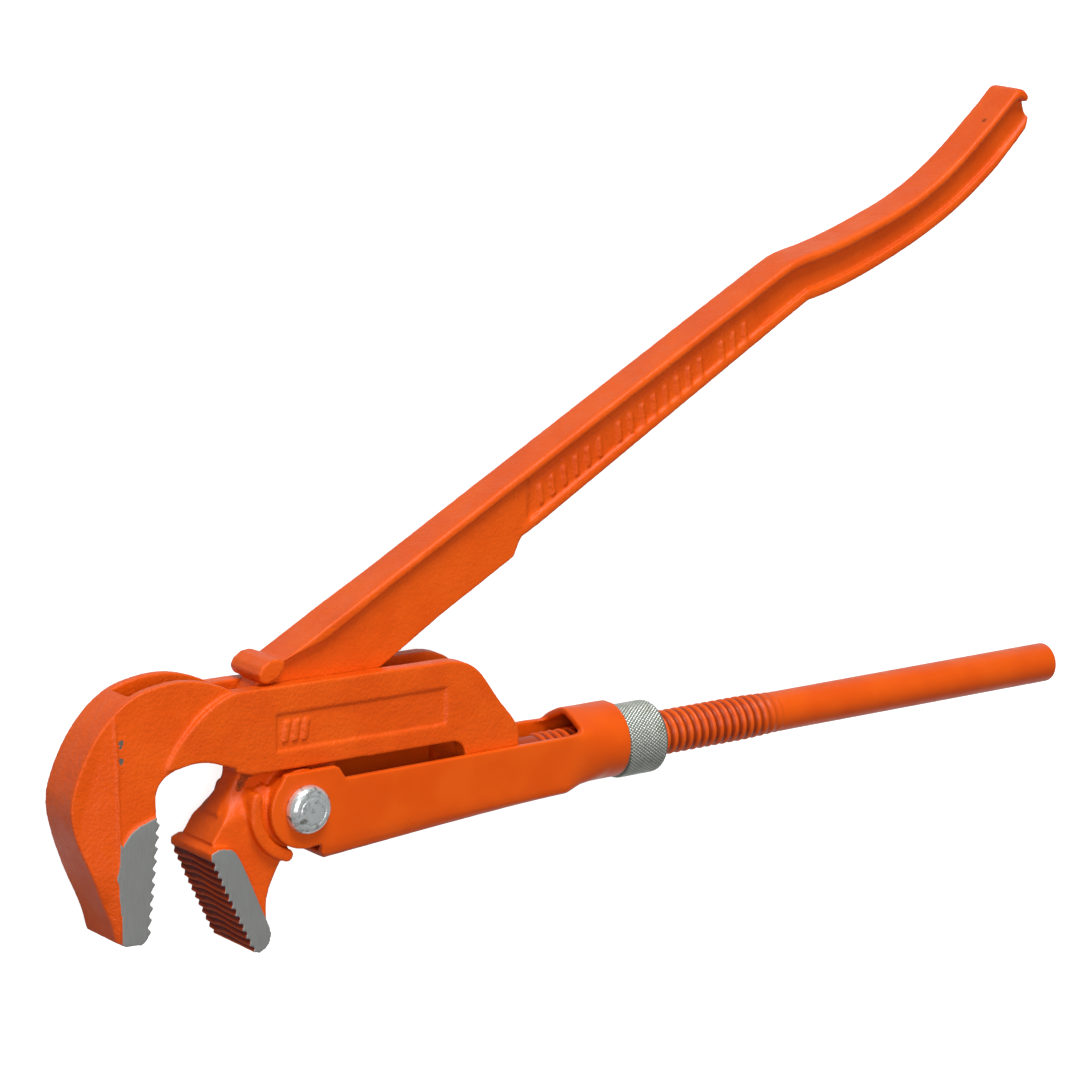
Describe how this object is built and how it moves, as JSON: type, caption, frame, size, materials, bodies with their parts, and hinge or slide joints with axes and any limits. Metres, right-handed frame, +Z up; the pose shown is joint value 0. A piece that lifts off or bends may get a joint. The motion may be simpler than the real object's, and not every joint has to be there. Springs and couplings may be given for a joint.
{
  "type": "pipe wrench",
  "caption": "Swedish-pattern pipe wrench with a right-angled toothed hook jaw, a pivoting lever handle, and a knurled nut that slides the hook on its threaded rod handle.",
  "frame": {"origin": "on the pivot rivet's axis, on the flat of its lower head, which the tool rests on when it lies on its side", "axes": "+X along the threaded rod towards its free end, +Z up along the rivet, +Y towards the lever handle"},
  "size_m": [0.4061, 0.2526, 0.0348],
  "materials": {
    "hook_paint": "semi-gloss orange paint over a cast skin, toothed end's sides ground bare",
    "rod_paint": "semi-gloss orange paint over a turned bar and rolled thread",
    "lever_paint": "semi-gloss orange paint over a forged skin, toothed end's sides ground bare",
    "channel_paint": "semi-gloss orange paint over smooth folded sheet",
    "rivet_zinc": "bright zinc, a little stained",
    "nut_zinc": "dull zinc over a fine diamond knurl",
    "spring_steel": "oiled blued spring steel"
  },
  "bodies": {
    "channel": {"channel_frame": "channel_paint", "pivot_rivet": "rivet_zinc", "leaf_spring": "spring_steel", "spring_rivet": "rivet_zinc"},
    "lever": {"lever": "lever_paint"},
    "hook": {"hook_jaw": "hook_paint", "threaded_rod": "rod_paint"},
    "nut": {"adjusting_nut": "nut_zinc"}
  },
  "joints": [
    {"name": "lever_pivot", "type": "hinge", "parent": "channel", "child": "lever", "pos_m": [0, 0, 0], "axis": [0, 0, 1], "range_deg": [-18, 2]},
    {"name": "hook_slide", "type": "slide", "parent": "channel", "child": "hook", "axis": [1, 0, 0], "range_m": [-0.028, 0.01]},
    {"name": "nut_spin", "type": "hinge", "parent": "channel", "child": "nut", "pos_m": [0.137, -0.001, 0.0174], "axis": [1, 0, 0], "range_deg": [-1107.8, 3101.7]}
  ],
  "couplings": [
    {"joint": "nut_spin", "follows": "hook_slide", "rad_per_m": -1933.3}
  ]
}
